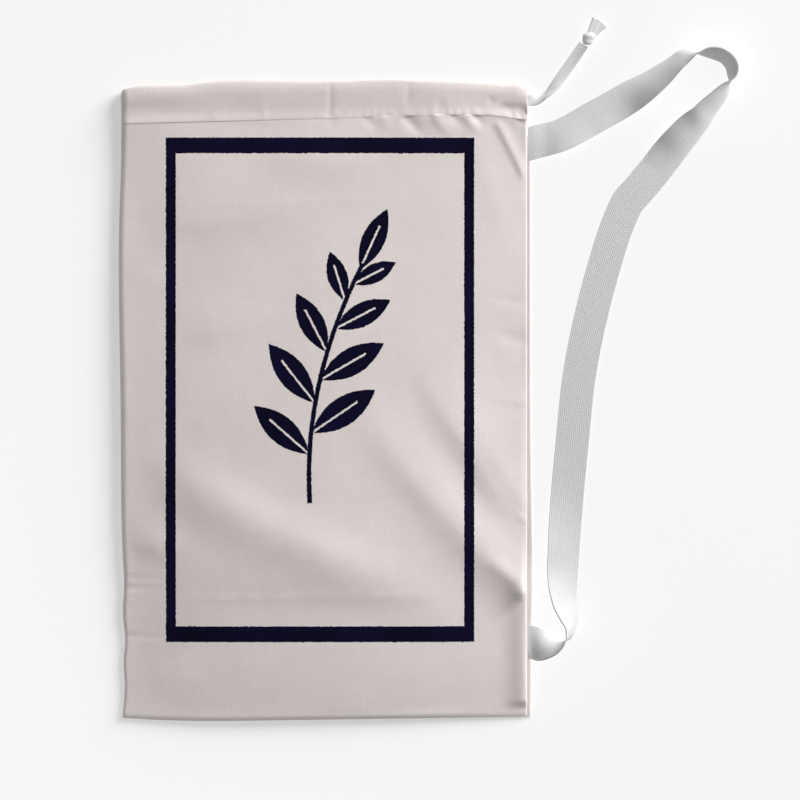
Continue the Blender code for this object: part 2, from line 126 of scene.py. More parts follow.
def makeTable():
    shape = bmesh.new()
    bmesh.ops.create_grid(shape, x_segments=8, y_segments=8, size=lightValues["tableSize"] / 2)
    mesh = bpy.data.meshes.new("paleTable")
    shape.to_mesh(mesh)
    shape.free()
    table = bpy.data.objects.new("paleTable", mesh)
    table.location.z = cadLow.z - 0.0002
    bpy.context.scene.collection.objects.link(table)
    material = bpy.data.materials.new("paleTable")
    material.use_nodes = True
    nodes = material.node_tree.nodes
    surface = nodes["Principled BSDF"]
    albedo = lightValues["tableAlbedo"]
    surface.inputs["Base Color"].default_value = (albedo, albedo, albedo, 1)
    surface.inputs["Roughness"].default_value = 0.9
    surface.inputs["Specular IOR Level"].default_value = 0.0
    surface.inputs["Emission Color"].default_value = (1, 1, 1, 1)
    # the table stays even although the light is nearer on one side
    place = nodes.new("ShaderNodeTexCoord")
    nearer = nodes.new("ShaderNodeVectorMath")
    nearer.operation = "DOT_PRODUCT"
    nearer.inputs[1].default_value = lightDirection() * -lightValues["tableEvening"]
    glow = nodes.new("ShaderNodeMath")
    glow.operation = "ADD"
    glow.use_clamp = True
    glow.inputs[1].default_value = lightValues["tableGlow"]
    links = material.node_tree.links
    links.new(place.outputs["Object"], nearer.inputs[0])
    links.new(nearer.outputs["Value"], glow.inputs[0])
    links.new(glow.outputs[0], surface.inputs["Emission Strength"])
    mesh.materials.append(material)


makeCamera()
makeLight()
makeTable()
print("camera, light and table made")


# Small helpers for numbers, curves and meshes


def mixed(low, high, share):
    return low + (high - low) * share


def eased(share):
    share = np.clip(share, 0.0, 1.0)
    return share * share * (3 - 2 * share)


def crowded(share, amount):
    return mixed(share, eased(share), amount)  # steps close up towards both ends


def smoothCurve(knots, values, places):
    # cubic through the values, each slope weighted by its spans
    knots = np.array(knots, float)
    values = np.array(values, float)
    spans = np.diff(knots)
    steps = np.diff(values) / spans
    slopes = np.empty(len(knots))
    slopes[0] = steps[0]
    slopes[-1] = steps[-1]
    slopes[1:-1] = (steps[:-1] * spans[1:] + steps[1:] * spans[:-1]) / (spans[:-1] + spans[1:])
    places = np.clip(places, knots[0], knots[-1])
    span = np.clip(np.searchsorted(knots, places, side="right") - 1, 0, len(spans) - 1)
    t = (places - knots[span]) / spans[span]
    start = values[span] * (2 * t**3 - 3 * t**2 + 1) + values[span + 1] * (3 * t**2 - 2 * t**3)
    turn = slopes[span] * (t**3 - 2 * t**2 + t) + slopes[span + 1] * (t**3 - t**2)
    return start + turn * spans[span]


def column(rows, name):
    return [getattr(row, name) for row in rows]


def tableValue(rows, key, name, places):
    return smoothCurve(column(rows, key), column(rows, name), places)


def gridFaces(rings, points, closed=True, start=0):
    # quads between neighbouring rings that hold the same number of points
    faces = []
    last = points if closed else points - 1
    for ring in range(rings - 1):
        low = start + ring * points
        high = low + points
        for i in range(last):
            j = (i + 1) % points
            faces.append((low + i, low + j, high + j, high + i))
    return faces


def makePiece(name, points, faces, materials, wall=0.0, smoothAngle=60):
    mesh = bpy.data.meshes.new(name)
    mesh.from_pydata([tuple(point) for point in points], [], faces)
    shape = bmesh.new()
    shape.from_mesh(mesh)
    bmesh.ops.recalc_face_normals(shape, faces=shape.faces)
    shape.to_mesh(mesh)
    shape.free()
    for material in materials:
        mesh.materials.append(material)
    mesh.shade_smooth()
    mesh.set_sharp_from_angle(angle=math.radians(smoothAngle))
    piece = bpy.data.objects.new(name, mesh)
    bpy.context.scene.collection.objects.link(piece)
    if wall:
        solid = piece.modifiers.new("clothWall", "SOLIDIFY")
        solid.thickness = wall
        solid.offset = -1
        solid.use_even_offset = True
        solid.use_quality_normals = True
    return piece


# Node helpers for the finishes


class Finish:
    def __init__(self, name, roughness, specular=0.1, sheen=0.0):
        self.material = bpy.data.materials.new(name)
        self.material.use_nodes = True
        self.tree = self.material.node_tree
        self.surface = self.tree.nodes["Principled BSDF"]
        self.surface.inputs["Roughness"].default_value = roughness
        self.surface.inputs["Specular IOR Level"].default_value = specular
        self.surface.inputs["Sheen Weight"].default_value = sheen

    def put(self, socket, value):
        if isinstance(value, (int, float, tuple)):
            socket.default_value = value
        else:
            self.tree.links.new(value, socket)

    def math(self, operation, first, second=0.0, third=0.0):
        node = self.tree.nodes.new("ShaderNodeMath")
        node.operation = operation
        for socket, value in zip(node.inputs, (first, second, third)):
            self.put(socket, value)
        return node.outputs[0]

    def vector(self, operation, first, second=(0, 0, 0)):
        node = self.tree.nodes.new("ShaderNodeVectorMath")
        node.operation = operation
        self.put(node.inputs[0], first)
        self.put(node.inputs[1], second)
        return node.outputs["Value" if operation in ("DOT_PRODUCT", "LENGTH") else "Vector"]

    def place(self):
        return self.tree.nodes.new("ShaderNodeTexCoord").outputs["Object"]

    def attribute(self, name):
        node = self.tree.nodes.new("ShaderNodeAttribute")
        node.attribute_name = name
        return node.outputs["Vector"]

    def parts(self, vector):
        node = self.tree.nodes.new("ShaderNodeSeparateXYZ")
        self.put(node.inputs[0], vector)
        return node.outputs[0], node.outputs[1], node.outputs[2]

    def noise(self, vector, scale, detail=2.0, rough=0.5, stretch=None):
        if stretch:
            vector = self.vector("MULTIPLY", vector, stretch)
        node = self.tree.nodes.new("ShaderNodeTexNoise")
        self.put(node.inputs["Vector"], vector)
        node.inputs["Scale"].default_value = scale
        node.inputs["Detail"].default_value = detail
        node.inputs["Roughness"].default_value = rough
        return node.outputs[0]

    def ramp(self, value, low, high, lowColour, highColour):
        node = self.tree.nodes.new("ShaderNodeValToRGB")
        self.put(node.inputs[0], value)
        node.color_ramp.elements[0].position = low
        node.color_ramp.elements[1].position = high
        node.color_ramp.elements[0].color = (*lowColour, 1)
        node.color_ramp.elements[1].color = (*highColour, 1)
        return node.outputs[0]

    def mixColour(self, share, first, second):
        node = self.tree.nodes.new("ShaderNodeMix")
        node.data_type = "RGBA"
        self.put(node.inputs[0], share)
        self.put(node.inputs[6], first)
        self.put(node.inputs[7], second)
        return node.outputs[2]

    def bump(self, height, distance, strength=1.0, under=None):
        node = self.tree.nodes.new("ShaderNodeBump")
        node.inputs["Strength"].default_value = strength
        node.inputs["Distance"].default_value = distance
        self.put(node.inputs["Height"], height)
        if under is not None:
            self.put(node.inputs["Normal"], under)
        return node.outputs[0]

    def finish(self, colour, normal):
        self.put(self.surface.inputs["Base Color"], colour)
        self.put(self.surface.inputs["Normal"], normal)
        return self.material


# Cloth: plain weave with slubs, and the printed frame and sprig

clothValues = {
    "light": (0.814, 0.749, 0.730),
    "dark": (0.684, 0.619, 0.603),
    "threadPitch": 0.00062,
    "threadHeight": 0.00009,
    "slubHeight": 0.00012,
    "roughness": 0.92,
}

printValues = {
    "navy": (0.0008, 0.0004, 0.0120),
    "navyLight": (0.0022, 0.0012, 0.0230),
    "middleX": -0.0058,
    "middleY": 0.0113,
    "width": 0.3430,
    "height": 0.5610,
    "sideBar": 0.0112,
    "endBar": 0.0175,
    "edgeRag": 0.0013,
    "ragPitch": 0.0021,
    "stemBase": (-0.018, -0.084),
    "stemHeight": 0.236,
    "stemLean": 0.060,
    "stemHalf": 0.0027,
    "veinHalf": 0.0011,
}

# leaves of the sprig: place along the stem, turn from the stem's line, length, widest half width
Leaf = namedtuple("Leaf", "along turn length half")
sprigLeaves = (
    Leaf(0.10, 52, 0.082, 0.0150),
    Leaf(0.20, -50, 0.086, 0.0158),
    Leaf(0.34, 48, 0.084, 0.0155),
    Leaf(0.45, -47, 0.082, 0.0150),
    Leaf(0.58, 44, 0.074, 0.0138),
    Leaf(0.69, -43, 0.070, 0.0130),
    Leaf(0.82, 40, 0.058, 0.0112),
    Leaf(0.90, -38, 0.054, 0.0104),
    Leaf(0.97, 2, 0.074, 0.0128),
)


def stemPoint(along):
    base = printValues["stemBase"]
    lean = printValues["stemLean"] * along**2
    return base[0] + lean, base[1] + printValues["stemHeight"] * along


def weave(cloth, place):
    # plain weave: warp and weft threads that pass over each other in turn
    x, y, z = cloth.parts(place)
    turns = 2 * math.pi / clothValues["threadPitch"]
    warp = cloth.math("SINE", cloth.math("MULTIPLY", x, turns))
    weft = cloth.math("SINE", cloth.math("MULTIPLY", y, turns))
    crossing = cloth.math("MULTIPLY", warp, weft)
    slubAcross = cloth.noise(place, 1.0, 3, 0.6, (45, 1500, 300))
    slubAlong = cloth.noise(place, 1.0, 3, 0.6, (1500, 45, 300))
    slubs = cloth.math("ADD", slubAcross, slubAlong)
    normal = cloth.bump(crossing, clothValues["threadHeight"], 0.7)
    normal = cloth.bump(slubs, clothValues["slubHeight"], 0.8, normal)
    return slubs, normal


def clothColour(cloth, place, slubs, darker=0.0):
    patches = cloth.noise(place, 9.0, 3, 0.55)
    tone = cloth.math("MULTIPLY_ADD", patches, 0.5, cloth.math("MULTIPLY", slubs, 0.5))
    light = tuple(channel * (1 - darker) for channel in clothValues["light"])
    dark = tuple(channel * (1 - darker) for channel in clothValues["dark"])
    return cloth.ramp(tone, 0.40, 1.05, dark, light)


def makePlainCotton(name="plainCotton", darker=0.0):
    cloth = Finish(name, clothValues["roughness"], 0.12)
    place = cloth.place()
    slubs, normal = weave(cloth, place)
    return cloth.finish(clothColour(cloth, place, slubs, darker), normal)


def insideBox(cloth, x, y, halfWidth, halfHeight):
    # how far a point lies inside a box round the print's middle, in metres
    fromSide = cloth.math("SUBTRACT", halfWidth, cloth.math("ABSOLUTE", x))
    fromEnd = cloth.math("SUBTRACT", halfHeight, cloth.math("ABSOLUTE", y))
    return cloth.math("MINIMUM", fromSide, fromEnd)


def leafDepth(cloth, place, leaf):
    base = stemPoint(leaf.along)
    ahead = stemPoint(leaf.along + 0.01)
    heading = math.atan2(ahead[1] - base[1], ahead[0] - base[0]) + math.radians(leaf.turn)
    offset = cloth.vector("SUBTRACT", place, (base[0], base[1], 0))
    along = cloth.vector("DOT_PRODUCT", offset, (math.cos(heading) / leaf.length, math.sin(heading) / leaf.length, 0))
    across = cloth.vector("DOT_PRODUCT", offset, (-math.sin(heading), math.cos(heading), 0))
    swell = cloth.math("MULTIPLY", along, cloth.math("SUBTRACT", 1.0, along))
    across = cloth.math("ABSOLUTE", across)
    depth = cloth.math("SUBTRACT", cloth.math("MULTIPLY", swell, 4 * leaf.half), across)
    vein = cloth.math("SUBTRACT", across, printValues["veinHalf"])
    veinEnd = cloth.math("MULTIPLY", cloth.math("SUBTRACT", along, 0.72), leaf.length)
    return cloth.math("MINIMUM", depth, cloth.math("MAXIMUM", vein, veinEnd))


def sprigDepth(cloth, place, x, y):
    rise = cloth.math("DIVIDE", cloth.math("SUBTRACT", y, printValues["stemBase"][1]), printValues["stemHeight"])
    lean = cloth.math("MULTIPLY", cloth.math("MULTIPLY", rise, rise), printValues["stemLean"])
    sideways = cloth.math("SUBTRACT", cloth.math("SUBTRACT", x, printValues["stemBase"][0]), lean)
    stem = cloth.math("SUBTRACT", printValues["stemHalf"], cloth.math("ABSOLUTE", sideways))
    ends = cloth.math("MINIMUM", cloth.math("ADD", rise, 0.13), cloth.math("SUBTRACT", 1.0, rise))
    depth = cloth.math("MINIMUM", stem, cloth.math("MULTIPLY", ends, printValues["stemHeight"]))
    for leaf in sprigLeaves:
        depth = cloth.math("MAXIMUM", depth, leafDepth(cloth, place, leaf))
    return depth


def makePrintedCotton():
    cloth = Finish("printedCotton", clothValues["roughness"], 0.12)
    place = cloth.place()
    slubs, normal = weave(cloth, place)
    plain = clothColour(cloth, place, slubs)
    flat = cloth.vector("MULTIPLY", place, (1, 1, 0))
    middle = (printValues["middleX"], printValues["middleY"], 0)
    x, y, z = cloth.parts(cloth.vector("SUBTRACT", flat, middle))
    outer = insideBox(cloth, x, y, printValues["width"] / 2, printValues["height"] / 2)
    innerWidth = printValues["width"] / 2 - printValues["sideBar"]
    innerHeight = printValues["height"] / 2 - printValues["endBar"]
    inner = insideBox(cloth, x, y, innerWidth, innerHeight)
    frameDepth = cloth.math("MINIMUM", outer, cloth.math("MULTIPLY", inner, -1.0))
    sprigX, sprigY, sprigZ = cloth.parts(flat)
    depth = cloth.math("MAXIMUM", frameDepth, sprigDepth(cloth, flat, sprigX, sprigY))
    rag = cloth.noise(flat, 1 / printValues["ragPitch"], 1, 0.5)
    rag = cloth.math("MULTIPLY", cloth.math("SUBTRACT", rag, 0.5), 2 * printValues["edgeRag"])
    covered = cloth.math("GREATER_THAN", cloth.math("ADD", depth, rag), 0.0)
    inkTone = cloth.noise(flat, 14.0, 2, 0.5)
    ink = cloth.ramp(inkTone, 0.38, 0.68, printValues["navy"], printValues["navyLight"])
    return cloth.finish(cloth.mixColour(covered, plain, ink), normal)


plainCotton = makePlainCotton()
# the casing's cotton is the same cloth painted 4% darker: painted shade on the hem
shadedCasingCotton = makePlainCotton("shadedCasingCotton", 0.04)
printedCotton = makePrintedCotton()
print("cotton finishes made")


# Bag body: outlines, crown and folds, all as shares of the bag's own sizes

bagBody = {
    "width": 0.4572,
    "length": 0.7112,
    "clothWall": 0.0009,
    "puff": 0.0178,
    "leftFold": 0.0120,
    "rightSeam": 0.0036,
    "leftReach": 0.150,
    "rightReach": 0.270,
    "mouthReach": 0.080,
    "fullness": 2.0,
    "foldJoin": 12,
    "seamWidth": 0.0036,
    "gap": 0.0003,
    "mouthSeam": 0.00006,  # hair line between the body and the casing's foot
    "seamRoll": 0.0020,  # depth of the rounded edge at the right seam
    "bottomRoll": 0.0062,
    "frontColumns": 160,
    "backColumns": 18,
    "foldSteps": 8,
    "rollSteps": 6,
    "rows": 218,
    "crowding": 0.38,
}

bodyRight = bagBody["width"] / 2 - bagBody["seamWidth"] - bagBody["gap"]
bodyLeft = -bagBody["width"] / 2
bodyWidth = bodyRight - bodyLeft
bodyBottom = -bagBody["length"] / 2
bagTop = bagBody["length"] / 2

TopEdge = namedtuple("TopEdge", "across drop")
topEdge = (
    TopEdge(0.000, 0.0155),
    TopEdge(0.030, 0.0105),
    TopEdge(0.100, 0.0080),
    TopEdge(0.165, 0.0072),
    TopEdge(0.200, 0.0040),
    TopEdge(0.500, 0.0020),
    TopEdge(0.700, 0.0000),
    TopEdge(0.730, 0.0010),
    TopEdge(0.860, 0.0028),
    TopEdge(0.950, 0.0062),
    TopEdge(0.985, 0.0078),
    TopEdge(1.000, 0.0150),
)
StitchLine = namedtuple("StitchLine", "across drop")
stitchLine = (
    StitchLine(0.00, 1.18),
    StitchLine(0.25, 1.11),
    StitchLine(0.51, 1.03),
    StitchLine(0.76, 0.95),
    StitchLine(0.93, 0.97),
    StitchLine(1.00, 1.07),
)
BottomEdge = namedtuple("BottomEdge", "across rise")
bottomEdge = (
    BottomEdge(0.00, 0.0020),
    BottomEdge(0.05, 0.0000),
    BottomEdge(0.55, 0.0000),
    BottomEdge(1.00, 0.0040),
)
LeftEdge = namedtuple("LeftEdge", "along inset")
leftEdge = (
    LeftEdge(0.00, 0.0065),
    LeftEdge(0.04, 0.0110),
    LeftEdge(0.09, 0.0085),
    LeftEdge(0.12, 0.0120),
    LeftEdge(0.17, 0.0065),
    LeftEdge(0.22, 0.0095),
    LeftEdge(0.27, 0.0060),
    LeftEdge(0.53, 0.0010),
    LeftEdge(0.83, -0.0025),
    LeftEdge(0.93, 0.0020),
    LeftEdge(1.00, 0.0030),
)

# Fullness of the bag from the bottom edge to the stitch line, as shares of the puff
Puff = namedtuple("Puff", "along share")
puffRows = (
    Puff(0.00, 0.60),
    Puff(0.06, 0.77),
    Puff(0.16, 0.93),
    Puff(0.30, 1.06),
    Puff(0.46, 1.06),
    Puff(0.75, 0.96),
    Puff(1.00, 0.90),
)

# Height of the rolled left fold from the bottom edge to the stitch line
Roll = namedtuple("Roll", "along share")
rollRows = (
    Roll(0.00, 0.55),
    Roll(0.12, 0.66),
    Roll(0.25, 0.94),
    Roll(0.40, 1.10),
    Roll(0.60, 1.15),
    Roll(0.80, 1.02),
    Roll(1.00, 1.00),
)

# A fold's crest runs from start past the bend to the end. Across runs from the left fold
# to the right seam, along from the bottom edge to the stitch line. The low side lies below
# the crest, the high side above it. Half widths, heights and fades: metres, metres, shares.
Fold = namedtuple(
    "Fold", "startAcross startAlong bendAcross bendAlong endAcross endAlong lowSide highSide height startFade endFade"
)
frontFolds = (
    # long fold from the left edge down to the right
    Fold(0.00, 0.482, 0.215, 0.330, 0.90, 0.150, 0.034, 0.030, 0.0050, 0.40, 0.35),
    Fold(0.10, 0.235, 0.45, 0.232, 0.85, 0.205, 0.030, 0.060, 0.0020, 0.40, 0.40),
    # fold that starts at the middle
    Fold(0.50, 0.590, 0.70, 0.400, 1.00, 0.190, 0.024, 0.030, 0.0050, 0.75, 0.02),
    Fold(0.88, 0.275, 0.95, 0.228, 1.00, 0.202, 0.009, 0.010, 0.0022, 0.50, 0.02),
    # fold towards the right seam
    Fold(0.70, 0.620, 0.84, 0.460, 1.00, 0.300, 0.018, 0.042, 0.0040, 0.60, 0.30),
    Fold(0.88, 0.470, 0.94, 0.400, 1.00, 0.345, 0.010, 0.014, 0.0005, 0.40, 0.02),
    # broad soft swells of the upper half
    Fold(0.04, 0.825, 0.28, 0.825, 0.50, 0.880, 0.020, 0.040, 0.0021, 0.40, 0.40),
    Fold(0.10, 0.650, 0.26, 0.640, 0.46, 0.690, 0.020, 0.045, 0.0016, 0.40, 0.50),
    Fold(0.30, 0.935, 0.48, 0.915, 0.74, 0.950, 0.020, 0.026, 0.0016, 0.50, 0.50),
    Fold(0.00, 0.745, 0.05, 0.740, 0.12, 0.735, 0.012, 0.018, 0.0012, 0.05, 0.60),
    # pressed creases across the width
    Fold(0.10, 0.857, 0.40, 0.862, 0.84, 0.860, 0.0030, 0.0040, 0.00016, 0.10, 0.10),
    Fold(0.00, 0.505, 0.15, 0.500, 0.34, 0.492, 0.0030, 0.0045, 0.00022, 0.05, 0.40),
    Fold(0.14, 0.197, 0.45, 0.200, 0.82, 0.195, 0.0070, 0.0050, 0.00038, 0.15, 0.15),
    # low left corner and bottom
    Fold(0.00, 0.345, 0.10, 0.320, 0.20, 0.225, 0.013, 0.022, 0.0012, 0.02, 0.50),
    Fold(0.00, 0.300, 0.07, 0.290, 0.16, 0.262, 0.016, 0.018, 0.0042, 0.02, 0.60),
    Fold(0.04, 0.060, 0.12, 0.055, 0.22, 0.070, 0.020, 0.024, 0.0012, 0.40, 0.50),
    # beside the right seam
    Fold(0.850, 1.000, 0.910, 0.900, 0.975, 0.720, 0.016, 0.022, 0.0007, 0.10, 0.40),
    Fold(0.919, 0.996, 0.970, 0.936, 1.000, 0.893, 0.0042, 0.0075, 0.0016, 0.10, 0.25),
)


def signedDistance(x, y, points):
    # distance to the crest, which side of it a point lies on, and the share along it
    best = np.full(x.shape, 1e9)
    side = np.zeros(x.shape)
    share = np.zeros(x.shape)
    count = len(points) - 1
    for i in range(count):
        startX, startY = points[i]
        stepX = points[i + 1][0] - startX
        stepY = points[i + 1][1] - startY
        t = ((x - startX) * stepX + (y - startY) * stepY) / (stepX**2 + stepY**2)
        t = np.clip(t, 0, 1)
        offX = x - startX - t * stepX
        offY = y - startY - t * stepY
        distance = np.hypot(offX, offY)
        nearer = distance < best
        best = np.where(nearer, distance, best)
        side = np.where(nearer, stepX * offY - stepY * offX, side)
        share = np.where(nearer, (i + t) / count, share)
    return best, side, share


def foldRelief(folds, across, along, width, length, samples=28):
    relief = np.zeros(across.shape)
    x = across * width
    y = along * length
    for fold in folds:
        points = []
        for i in range(samples + 1):
            t = i / samples
            start = (1 - t) ** 2
            bend = 2 * t * (1 - t)
            end = t**2
            crestX = start * fold.startAcross + bend * fold.bendAcross + end * fold.endAcross
            crestY = start * fold.startAlong + bend * fold.bendAlong + end * fold.endAlong
            points.append((crestX * width, crestY * length))
        distance, side, share = signedDistance(x, y, points)
        halfWidth = np.where(side > 0, fold.highSide, fold.lowSide)
        fade = eased(share / fold.startFade) * eased((1 - share) / fold.endFade)
        relief += fold.height * fade * np.exp(-((distance / halfWidth) ** 2))
    return relief


def topEdgeY(across):
    return bagTop - bagBody["length"] * tableValue(topEdge, "across", "drop", across)


def stitchLineY(across):
    return bagTop - casing["depth"] * tableValue(stitchLine, "across", "drop", across)


def bottomEdgeY(across):
    return bodyBottom + bagBody["length"] * tableValue(bottomEdge, "across", "rise", across)


def leftEdgeX(along):
    return bodyLeft + bagBody["width"] * tableValue(leftEdge, "along", "inset", along)


casing = {
    "depth": 0.0410,
    "wall": 0.0008,
    "thickness": 0.0041,
    "mouthGap": 0.0070,
    "mouthEndGap": 0.0012,
    "mouthEndReach": 0.110,
    "frontSteps": 230,
    "turnSteps": 10,
    "backSteps": 60,
    "faceSteps": 20,
    "innerSteps": 8,
    "edgeSteps": 5,
}


def mouthGap(across):
    closing = eased((1 - across) * bodyWidth / casing["mouthEndReach"])
    return mixed(casing["mouthEndGap"], casing["mouthGap"], closing)


def casingTop(across):
    return 2 * casing["thickness"] + mouthGap(across)


def edgeRise(distance, reach, fullness):
    share = np.clip(distance / reach, 0.0, 1.0)
    return 1 - (1 - share) ** fullness


puckers = (
    # slanted puckers under the stitch line, then short ones along the right seam
    Fold(0.515, 1.00, 0.520, 0.985, 0.525, 0.970, 0.0040, 0.0050, -0.0006, 0.02, 0.80),
    Fold(0.600, 1.00, 0.610, 0.990, 0.628, 0.975, 0.0035, 0.0050, -0.0009, 0.02, 0.80),
    Fold(0.640, 1.00, 0.655, 0.985, 0.670, 0.965, 0.0060, 0.0070, 0.0008, 0.02, 0.80),
    Fold(0.700, 1.00, 0.715, 0.985, 0.755, 0.955, 0.0055, 0.0075, -0.0020, 0.02, 0.70),
    Fold(0.770, 1.00, 0.790, 0.980, 0.825, 0.960, 0.0060, 0.0080, 0.0014, 0.02, 0.70),
    Fold(0.758, 1.00, 0.762, 0.993, 0.772, 0.985, 0.0025, 0.0030, -0.0007, 0.02, 0.80),
    Fold(0.815, 1.00, 0.825, 0.990, 0.845, 0.975, 0.0040, 0.0050, -0.0011, 0.02, 0.80),
    Fold(0.845, 1.00, 0.865, 0.985, 0.890, 0.960, 0.0050, 0.0065, 0.0014, 0.02, 0.70),
    Fold(0.870, 1.00, 0.882, 0.988, 0.905, 0.975, 0.0045, 0.0055, -0.0013, 0.02, 0.80),
    Fold(0.970, 0.998, 0.985, 0.995, 1.000, 0.994, 0.0040, 0.0040, -0.0010, 0.30, 0.02),
    Fold(0.910, 0.695, 0.955, 0.688, 1.000, 0.690, 0.0060, 0.0070, -0.0006, 0.60, 0.02),
    Fold(0.900, 0.640, 0.950, 0.628, 1.000, 0.625, 0.0080, 0.0100, -0.0009, 0.60, 0.02),
    Fold(0.900, 0.530, 0.950, 0.523, 1.000, 0.520, 0.0055, 0.0100, 0.0005, 0.60, 0.02),
    Fold(0.965, 0.336, 0.985, 0.328, 1.000, 0.318, 0.0030, 0.0040, 0.0007, 0.40, 0.02),
    Fold(0.940, 0.205, 0.970, 0.200, 1.000, 0.200, 0.0050, 0.0060, 0.0012, 0.60, 0.02),
    Fold(1.000, 0.290, 0.992, 0.140, 0.998, 0.005, 0.0160, 0.0060, 0.0056, 0.30, 0.05),
    # small creases of the left fold
    Fold(0.000, 0.236, 0.012, 0.228, 0.030, 0.224, 0.0040, 0.0050, -0.0012, 0.02, 0.80),
    Fold(0.000, 0.208, 0.015, 0.214, 0.032, 0.212, 0.0040, 0.0050, -0.0012, 0.02, 0.80),
    Fold(0.000, 0.128, 0.012, 0.130, 0.028, 0.126, 0.0040, 0.0050, -0.0010, 0.02, 0.80),
)
leftRim = Fold(0.021, 0.26, 0.022, 0.60, 0.026, 1.00, 0.0040, 0.0040, 0.00045, 0.20, 0.02)


def clothSwell(x, y, scale, seed):
    # slow uneven swell from crossing waves, the same each run
    swell = np.zeros(x.shape)
    for i in range(7):
        turn = seed + 2.4 * i
        pitch = scale * (4.2 + 1.7 * math.sin(3.1 * i + seed))
        swell += np.sin((x * math.cos(turn) + y * math.sin(turn)) * pitch + 5.0 * i * seed)
    return swell / 7


def frontHeight(across, along):
    across, along = np.broadcast_arrays(across, along)
    body = bagBody
    fromLeft = across * bodyWidth
    fromRight = (1 - across) * bodyWidth
    fromBottom = along * body["length"]
    fromMouth = (1 - along) * body["length"]
    height = body["puff"] * tableValue(puffRows, "along", "share", along)
    height = mixed(body["rightSeam"], height, edgeRise(fromRight, body["rightReach"], body["fullness"]))
    leftFold = body["leftFold"] * tableValue(rollRows, "along", "share", along)
    height = mixed(leftFold, height, edgeRise(fromLeft, body["leftReach"], body["fullness"]))
    height = mixed(casingTop(across), height, edgeRise(fromMouth, body["mouthReach"], body["fullness"]))
    folds = foldRelief(frontFolds, across, along, bodyWidth, body["length"])
    folds = folds + 0.0010 * clothSwell(fromLeft, fromBottom, 9.0, 3.0)
    folds = folds + 0.00016 * clothSwell(fromLeft, fromBottom, 34.0, 8.0)
    folds = folds * eased(fromRight / 0.009 + 0.25) * eased(fromLeft / 0.020 + 0.15) * eased(fromMouth / 0.012)
    folds = folds * eased(fromBottom / 0.012 + 0.3)
    fine = foldRelief(puckers, across, along, bodyWidth, body["length"], 10)
    rim = foldRelief((leftRim,), across, along, bodyWidth, body["length"], 10)
    return height + folds + (fine + rim) * eased(fromRight / 0.004 + 0.35)


def makeBagBody():
    body = bagBody
    along = crowded(np.linspace(0, 1, body["rows"] + 1), body["crowding"])
    left = leftEdgeX(along)
    radius = frontHeight(np.zeros(along.shape), along) / 2
    foldX = left + radius
    frontShare = crowded(np.linspace(0, 1, body["frontColumns"] + 1), body["crowding"])
    frontX = mixed(bodyRight - body["seamRoll"], foldX[:, None], frontShare[None, :])
    across = (frontX - left[:, None]) / (bodyRight - left[:, None])
    heights = frontHeight(across, along[:, None] + 0 * across)
    frontZ = mixed(heights, 2 * radius[:, None], frontShare[None, :] ** body["foldJoin"])
    columnsX = [frontX]
    columnsZ = [frontZ]
    turn = math.pi * np.arange(1, body["foldSteps"]) / body["foldSteps"]
    columnsX.append(foldX[:, None] - radius[:, None] * np.sin(turn)[None, :])
    columnsZ.append(radius[:, None] + radius[:, None] * np.cos(turn)[None, :])
    backShare = np.linspace(0, 1, body["backColumns"] + 1)
    columnsX.append(mixed(foldX[:, None], bodyRight - body["seamRoll"], backShare[None, :]))
    columnsZ.append(np.zeros((len(along), len(backShare))))
    roll = math.pi * np.arange(1, body["rollSteps"]) / body["rollSteps"]
    seamHalf = frontZ[:, :1] / 2
    columnsX.append(bodyRight - body["seamRoll"] + body["seamRoll"] * np.sin(roll)[None, :] + 0 * seamHalf)
    columnsZ.append(seamHalf - seamHalf * np.cos(roll)[None, :])
    x = np.concatenate(columnsX, axis=1)
    z = np.concatenate(columnsZ, axis=1)
    ringShare = np.clip((x - left[:, None]) / (bodyRight - left[:, None]), 0, 1)
    low = bottomEdgeY(ringShare) + body["bottomRoll"]
    high = stitchLineY(ringShare) - body["mouthSeam"]
    y = mixed(low, high, along[:, None])
    # rounded bottom edge: the first ring closes over a few steps
    rollRows = []
    middle = np.interp(x[0], frontX[0][::-1], frontZ[0][::-1]) / 2
    for step in range(body["rollSteps"] + 1, 0, -1):
        angle = math.pi / 2 * step / (body["rollSteps"] + 1.5)
        flatter = middle + (z[0] - middle) * math.cos(angle)
        rollRows.append(np.stack([x[0], y[0] - body["bottomRoll"] * math.sin(angle), flatter], axis=-1))
    tuck = np.stack([x[-1], y[-1] + 0.0016, z[-1] - 0.0009 * np.sign(z[-1] - radius[-1])], axis=-1)
    rings = np.concatenate([np.array(rollRows), np.stack([x, y, z], axis=-1), tuck[None]])
    count = rings.shape[1]
    faces = gridFaces(len(rings), count)
    faces.append(tuple(range(count)))
    piece = makePiece("bagBody", rings.reshape(-1, 3), faces, [plainCotton, printedCotton], body["clothWall"])
    piece.modifiers["clothWall"].material_offset = -1
    frontCells = body["frontColumns"]
    materials = np.zeros(len(piece.data.polygons), int)
    for ring in range(len(rings) - 1):
        materials[ring * count:ring * count + frontCells] = 1
    piece.data.polygons.foreach_set("material_index", materials)
    return piece


# Casing round the mouth: a hem tunnel with a full top edge and a sewn foot

